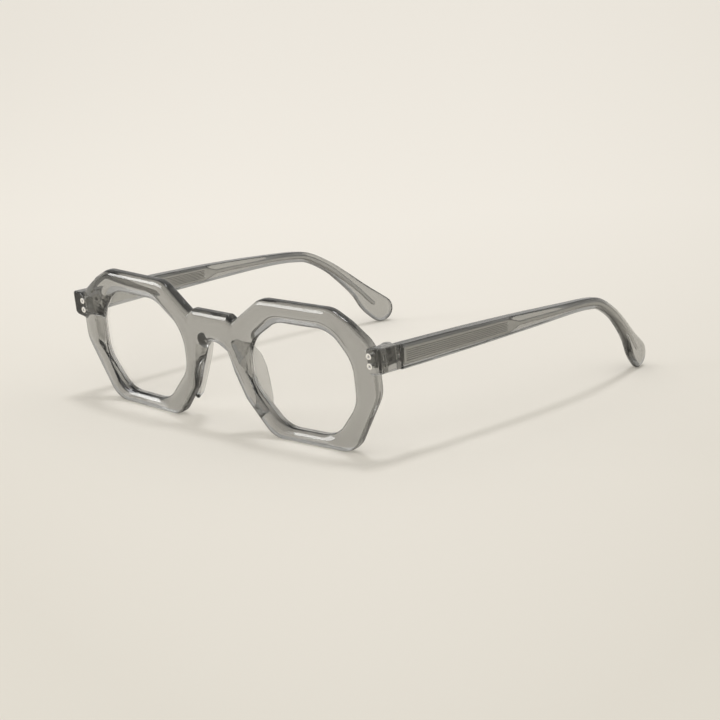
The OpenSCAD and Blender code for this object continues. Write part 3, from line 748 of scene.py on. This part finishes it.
def turned(profile, steps):
    """Points and faces of a solid turned about Y, from a profile of (radius, y).

    The profile begins and ends on the axis.
    """
    angles = [2 * math.pi * k / steps for k in range(steps)]
    ring = [(math.cos(a), math.sin(a)) for a in angles]
    points = [(0, profile[0][1], 0)]
    points += [(r * c, y, r * h) for r, y in profile[1:-1] for c, h in ring]
    points.append((0, profile[-1][1], 0))
    faces, last = [], len(points) - 1
    for k in range(steps):
        j = (k + 1) % steps
        faces.append((0, 1 + k, 1 + j))
        for row in range(len(profile) - 3):
            a = 1 + row * steps
            faces.append((a + k, a + steps + k, a + steps + j, a + j))
        a = 1 + (len(profile) - 3) * steps
        faces.append((a + k, last, a + j))
    return points, faces


def swept(rings):
    """Points and faces of a solid through closed rings of points, with both ends closed."""
    count = len(rings[0])
    points = [p for ring in rings for p in ring]
    faces = [tuple(range(count))[::-1], tuple(len(points) - count + k for k in range(count))]
    for row in range(len(rings) - 1):
        for k in range(count):
            a, b = row * count + k, row * count + (k + 1) % count
            faces.append((a, b, b + count, a + count))
    return points, faces


ENGRAVED_LINES = 6
ENGRAVED_SHARE = 0.8  # share of the core's flat that the lines take up
LINE_HALF = 0.23  # half a line's width as a share of the lines' pitch
LINE_DEPTH = 0.45  # depth in millimetres at which a line gets the full painted shade
BEVEL, BEVEL_PAINTED_SHADE = 0.15, 0.2  # depth of the core's bevelled edges, and the painted shade where they begin
BEVEL_WIDTH, LEAST_FLAT = 0.25, 0.4  # its width, and the least share of the height left flat
CORE_STARTS, CORE_STOPS = 2, 3.2  # from the temple's start, and from the middle of its tip
CORE_TAPER = 0.5  # what half the core's height loses up to its point
CORE_END, WIRE_END = 0.25, (0.8, 0.35)  # what the first ring loses, and shares kept by the last two
LINES_FROM, LINES_SHORT = 3, 0.8  # where the lines start, and how far before the point they end


def core_section(depth, flat):
    """Half of the core's section from its lower to its upper edge.

    Each point is (share of the height, depth cut away, painted shade). The share that is flat ends at
    a bevel with painted shade on each side; each engraved line gets painted shade by its depth.
    """
    pitch = 2 * ENGRAVED_SHARE * flat / ENGRAVED_LINES
    half = LINE_HALF * pitch
    section = [(-1, BEVEL, 1), (-flat, 0, BEVEL_PAINTED_SHADE)]
    for k in range(ENGRAVED_LINES):
        line = (k - (ENGRAVED_LINES - 1) / 2) * pitch
        section += [(line - half, 0, 0), (line, depth, depth / LINE_DEPTH), (line + half, 0, 0)]
    return section + [(flat, 0, BEVEL_PAINTED_SHADE), (1, BEVEL, 1)]


def core_rings(s):
    """Rings of the core along the temple, whose own length runs along Y, and each point's painted
    shade.
    """
    side, plan = temple_paths(s)
    wide, point = s.core_length, s.core_length + s.core_point
    stop = s.reach - s.tip - CORE_STOPS
    stations = np.unique(np.concatenate([
        [CORE_STARTS, 2.3, 2.8, 3.2],
        np.linspace(4, wide - 1, 18),
        [wide - 0.6, wide, wide + 0.01],
        np.linspace(wide + 1, point, 8),
        np.linspace(point + 0.5, stop - 1, 46),
        [stop - 0.5, stop - 0.15, stop],
    ]))
    height = np.interp(stations, side[:, 0], side[:, 1])
    middle = np.interp(stations, plan[:, 0], plan[:, 1])
    start = s.core_height / 2
    half = np.interp(stations, [0, wide, point], [start, start - CORE_TAPER, s.wire / 2])
    half[0] -= CORE_END
    half[-2:] *= WIRE_END
    way = np.stack([np.gradient(stations), np.gradient(height)], axis=1)
    way /= np.linalg.norm(way, axis=1)[:, None]
    rings, marks = [], []
    for y, z, x, h, (cy, cz) in zip(stations, height, middle, half, way):
        depth = s.engraving if LINES_FROM < y < wide - LINES_SHORT else 0.0
        cut = core_section(depth, max(1 - BEVEL_WIDTH / h, LEAST_FLAT))
        marks += [shade_weight for _, _, shade_weight in cut + cut[::-1]]
        out, into = x + s.core_thickness / 2, x - s.core_thickness / 2
        outer = [(out - d, y - cz * h * t, z + cy * h * t) for t, d, _ in cut]
        inner = [(into + d, y - cz * h * t, z + cy * h * t) for t, d, _ in reversed(cut)]
        rings.append(outer + inner)
    return rings, marks


def dress(piece, body, slot, finish, *nodes):
    """Gives a piece its material and body, and hides the nodes that it stands for."""
    piece.data.materials.append(finish)
    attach(piece, body)
    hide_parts(*nodes)


def mirrored(piece, name):
    """The same mesh for the other side."""
    mesh = piece.data
    points = np.array([v.co for v in mesh.vertices]) / MM * (-1, 1, 1)
    faces = np.array([p.vertices[:] for p in mesh.polygons])[:, ::-1]
    normals = np.zeros(len(mesh.loops) * 3, np.float32)
    mesh.corner_normals.foreach_get("vector", normals)
    corner = np.zeros(len(mesh.loops), np.int32)
    mesh.loops.foreach_get("vertex_index", corner)
    by_point = np.zeros((len(points), 3))
    by_point[corner] = normals.reshape(-1, 3)
    return mesh_object(name, points, faces, by_point * (-1, 1, 1))


def acetate_finish(name, look, surface, density, through=None):
    """Polished acetate in the look's tint."""
    return clear_finish(name, surface, look.shade, ACETATE_IOR, ACETATE_SHINE, look.polish,
                        ACETATE_RIPPLE, (look.tint, density), through)


class GLASSES_OT_front(bpy.types.Operator):
    """Builds the acetate front with its two rims, bridge and end pieces"""
    bl_idname = "glasses.front"
    bl_label = "Front"

    def execute(self, context):
        s = millimetres(context.scene.front_sizes)
        look = context.scene.acetate_look
        front = skin("acetate_front", front_distance(s), *FRONT_GRID, front_place(s))
        finish = acetate_finish("grey_acetate", look, look.surface, look.density, FACING_BACK)
        dress(front, "front", "acetate", finish, "front_frame")
        return {"FINISHED"}


class GLASSES_OT_pads(bpy.types.Operator):
    """Builds the two nose pads behind the rims"""
    bl_idname = "glasses.pads"
    bl_label = "Nose pads"

    def execute(self, context):
        s = millimetres(context.scene.front_sizes)
        look = context.scene.acetate_look
        finish = acetate_finish("pale_acetate", look, look.pad_surface, look.pad_density)
        place = front_place(s) @ rim_place(s, 1)
        left = skin("pad_left", pad_distance(s), *PAD_GRID, place)
        dress(left, "front", "pad_acetate", finish, "nose_pad_left")
        dress(mirrored(left, "pad_right"), "front", "pad_acetate", finish, "nose_pad_right")
        return {"FINISHED"}


class GLASSES_OT_temples(bpy.types.Operator):
    """Builds the two acetate temples"""
    bl_idname = "glasses.temples"
    bl_label = "Temples"

    def execute(self, context):
        front = millimetres(context.scene.front_sizes)
        s = millimetres(context.scene.temple_sizes)
        look = context.scene.acetate_look
        surface, density = look.temple_surface, look.temple_density
        finish = acetate_finish("temple_acetate", look, surface, density, FACING_SIDE)
        place = Matrix.Translation((0, TEMPLE_START, 0))
        left = skin("acetate_temple_left", temple_distance(s, front), *TEMPLE_GRID, place)
        dress(left, "temple_left", "acetate", finish, "temple_left")
        dress(mirrored(left, "acetate_temple_right"), "temple_right", "acetate", finish, "temple_right")
        return {"FINISHED"}


class GLASSES_OT_lenses(bpy.types.Operator):
    """Gives the two lenses clear glass"""
    bl_idname = "glasses.lenses"
    bl_label = "Lenses"

    def execute(self, context):
        finish = clear_finish("lens_glass", (1, 1, 1), [GLASS_SHADE] * 3, GLASS_IOR, GLASS_SHINE)
        for side in SIDES:
            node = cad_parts["lens_" + side]
            for slot in node.material_slots:
                slot.material = finish
        return {"FINISHED"}


STEEL_NODES = ["front_hinge_leaf", "temple_hinge_leaf", "hinge_screw", "temple_rivets"]


class GLASSES_OT_metal(bpy.types.Operator):
    """Gives the hinges, their screws and the temples' rivets their steel"""
    bl_idname = "glasses.metal"
    bl_label = "Steel parts"

    def execute(self, context):
        steel = metal_finish("hinge_steel")
        for name in STEEL_NODES:
            for side in SIDES:
                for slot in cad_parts[f"{name}_{side}"].material_slots:
                    slot.material = steel
        return {"FINISHED"}


class GLASSES_OT_rivets(bpy.types.Operator):
    """Turns the two rivets of each end piece"""
    bl_idname = "glasses.rivets"
    bl_label = "Rivets"

    def execute(self, context):
        s = millimetres(context.scene.front_sizes)
        silver = metal_finish("rivet_silver")
        around = [m for m in RIVET_PAINTED_SHADE[1:-1] for _ in range(RIVET_STEPS)]
        for side, sign in SIDES.items():
            place = front_place(s) @ rim_place(s, sign)
            points, faces, marks = [], [], []
            for across, up in RIVET_PLACES:
                part, rings = turned(RIVET_PROFILE, RIVET_STEPS)
                faces += [tuple(len(points) + k for k in face) for face in rings]
                points += [place @ Vector((x + across, y, z + up)) for x, y, z in part]
                marks += [RIVET_PAINTED_SHADE[0], *around, RIVET_PAINTED_SHADE[-1]]
            if sign > 0:
                faces = [face[::-1] for face in faces]
            rivets = plain_mesh("rivets_" + side, points, faces, RIVET_CREASE, marks)
            dress(rivets, "front", "rivet_metal", silver, "front_rivets_" + side)
        return {"FINISHED"}


class GLASSES_OT_cores(bpy.types.Operator):
    """Draws the flat engraved core of each temple with its point and wire"""
    bl_idname = "glasses.cores"
    bl_label = "Cores"

    def execute(self, context):
        s = millimetres(context.scene.temple_sizes)
        metal = metal_finish("core_metal")
        rings, marks = core_rings(s)
        points, faces = swept(rings)
        for side, sign in SIDES.items():
            placed = [(x * sign, y + TEMPLE_START, z) for x, y, z in points]
            outward = [face[::-1] for face in faces] if sign < 0 else faces
            core = plain_mesh("core_" + side, placed, outward, CORE_CREASE, marks)
            dress(core, "temple_" + side, "core_metal", metal, "core_wire_" + side)
        return {"FINISHED"}


FLOOR_HALF = 6.0  # metres
FLOOR_WAY = (-0.687, 0.727)  # the way across the floor in which its painted light grows
FLOOR_FROM, FLOOR_RISE, FLOOR_CURVE, FLOOR_LEAST = 0.3, 1.6, 0.75, 0.03  # how it does so
BEAM_FROM, BEAM_LEAST, BEAM_FALL = 0.72, 0.2, 9.0  # the same for a painted beam of light that widens along that way
PAPER_LEAST, PAPER_RANGE, PAPER_SHINE = 0.85, 0.1, 0.1  # roughness and gloss
SKY_COLOUR = (1, 0.985, 0.95)
OVERHEAD_LEAN = (-12, -2)  # degrees about X and Y
CARD_SIZE, CARD_PLACE, CARD_AIM = (0.4, 0.24), (-0.64, -0.68, 0.24), (0, -0.05, 0.02)
CAMERA_PLACE, CAMERA_WAY = (0.48613, -0.520227, 0.18557), (-0.66619, 0.70534, -0.24226)
CAMERA_ROLL, CAMERA_LENS, CAMERA_SENSOR, CAMERA_END = -1.732, 108.17, 36, 50


def floor_finish(look):
    """Matt paper with a painted pool of light, lightest in a broad beam behind the glasses."""
    f = Finish("floor_paper")
    spot = f.node("ShaderNodeSeparateXYZ", {}, {0: f.place()})
    x, y = (Value(f, spot.outputs[i]) for i in (0, 1))
    # Painted pool of light: how far each spot lies in the painted beam
    back = y * FLOOR_WAY[1] + x * FLOOR_WAY[0]
    reach = (back + BEAM_FROM).math("MAXIMUM", BEAM_LEAST)
    aside = (x * FLOOR_WAY[1] - y * FLOOR_WAY[0]) / reach
    along = ((back + FLOOR_FROM) * FLOOR_RISE).clipped() ** FLOOR_CURVE
    light = (along - aside * aside * BEAM_FALL + FLOOR_LEAST).clipped()
    paper = f.node("ShaderNodeBsdfPrincipled", {}, {
        "Base Color": f.blend(light, opaque(look.near_floor_painted_shade), opaque(look.floor)),
        "Roughness": f.noise(WEAR, 3) * PAPER_RANGE + PAPER_LEAST,
        "Specular IOR Level": PAPER_SHINE,
    })
    return f.surface(paper.outputs[0])


def camera_turn():
    """The camera's turn, from the way it looks and its roll."""
    forward = Vector(CAMERA_WAY).normalized()
    level = forward.cross(Vector((0, 0, 1))).normalized()
    upright = level.cross(forward)
    cos, sin = math.cos(math.radians(CAMERA_ROLL)), math.sin(math.radians(CAMERA_ROLL))
    right, up = level * cos + upright * sin, upright * cos - level * sin
    return Matrix((right, up, -forward)).transposed().to_4x4()


class GLASSES_OT_stage(bpy.types.Operator):
    """Sets the pale floor, the soft lamps and the camera"""
    bl_idname = "glasses.stage"
    bl_label = "Stage"

    def execute(self, context):
        scene, look = context.scene, context.scene.stage_look
        half = FLOOR_HALF
        mesh = bpy.data.meshes.new("floor")
        corners = [(-half, -half, 0), (half, -half, 0), (half, half, 0), (-half, half, 0)]
        mesh.from_pydata(corners, [], [(0, 1, 2, 3)])
        mesh.materials.append(floor_finish(look))
        floor = add("floor", mesh)

        world = bpy.data.worlds.new("studio")
        world.use_nodes = True
        background = world.node_tree.nodes["Background"].inputs
        background["Color"].default_value = opaque(SKY_COLOUR)
        background["Strength"].default_value = look.sky
        scene.world = world

        overhead = bpy.data.lights.new("overhead", "SUN")
        overhead.energy, overhead.angle = look.overhead, look.softness
        lean = [math.radians(a) for a in OVERHEAD_LEAN]
        add("overhead", overhead).rotation_euler = (*lean, 0)

        card = bpy.data.lights.new("card", "AREA")
        card.shape, card.energy = "RECTANGLE", look.card
        card.size, card.size_y = CARD_SIZE
        lamp = add("card", card)
        lamp.location = CARD_PLACE
        way = Vector(CARD_AIM) - lamp.location
        lamp.rotation_euler = way.to_track_quat("-Z", "Y").to_euler()

        camera = bpy.data.cameras.new("camera")
        camera.lens, camera.sensor_width, camera.clip_end = CAMERA_LENS, CAMERA_SENSOR, CAMERA_END
        scene.camera = add("camera", camera)
        scene.camera.matrix_world = Matrix.Translation(CAMERA_PLACE) @ camera_turn()
        scene.view_settings.view_transform = "Standard"
        return {"FINISHED"}


class GLASSES_PT_panel(bpy.types.Panel):
    """Lists the sizes, the looks and the pieces"""
    bl_idname = "GLASSES_PT_panel"
    bl_label = "Reading Glasses"
    bl_space_type = "VIEW_3D"
    bl_region_type = "UI"
    bl_category = "Glasses"

    def draw(self, context):
        for name in GROUPS:
            box = self.layout.box()
            box.label(text=name.replace("_", " ").capitalize())
            group = getattr(context.scene, name)
            for prop in group.bl_rna.properties:
                if prop.identifier not in ("rna_type", "name"):
                    box.prop(group, prop.identifier)
        for operator in OPERATORS:
            self.layout.operator(operator.bl_idname)


GROUPS = {
    "front_sizes": FrontSizes,
    "temple_sizes": TempleSizes,
    "acetate_look": AcetateLook,
    "stage_look": StageLook,
}
OPERATORS = (GLASSES_OT_stage, GLASSES_OT_front, GLASSES_OT_pads, GLASSES_OT_temples,
             GLASSES_OT_lenses, GLASSES_OT_metal, GLASSES_OT_rivets, GLASSES_OT_cores)
CLASSES = (*GROUPS.values(), *OPERATORS, GLASSES_PT_panel)


def register():
    for cls in CLASSES:
        bpy.utils.register_class(cls)
    for name, group in GROUPS.items():
        setattr(bpy.types.Scene, name, PointerProperty(type=group))


def unregister():
    for name in GROUPS:
        delattr(bpy.types.Scene, name)
    for cls in reversed(CLASSES):
        bpy.utils.unregister_class(cls)


def main():
    register()
    bpy.ops.glasses.stage()
    bpy.ops.glasses.front()
    bpy.ops.glasses.pads()
    bpy.ops.glasses.temples()
    bpy.ops.glasses.lenses()
    bpy.ops.glasses.metal()
    bpy.ops.glasses.rivets()
    bpy.ops.glasses.cores()


if __name__ == "__main__":
    main()
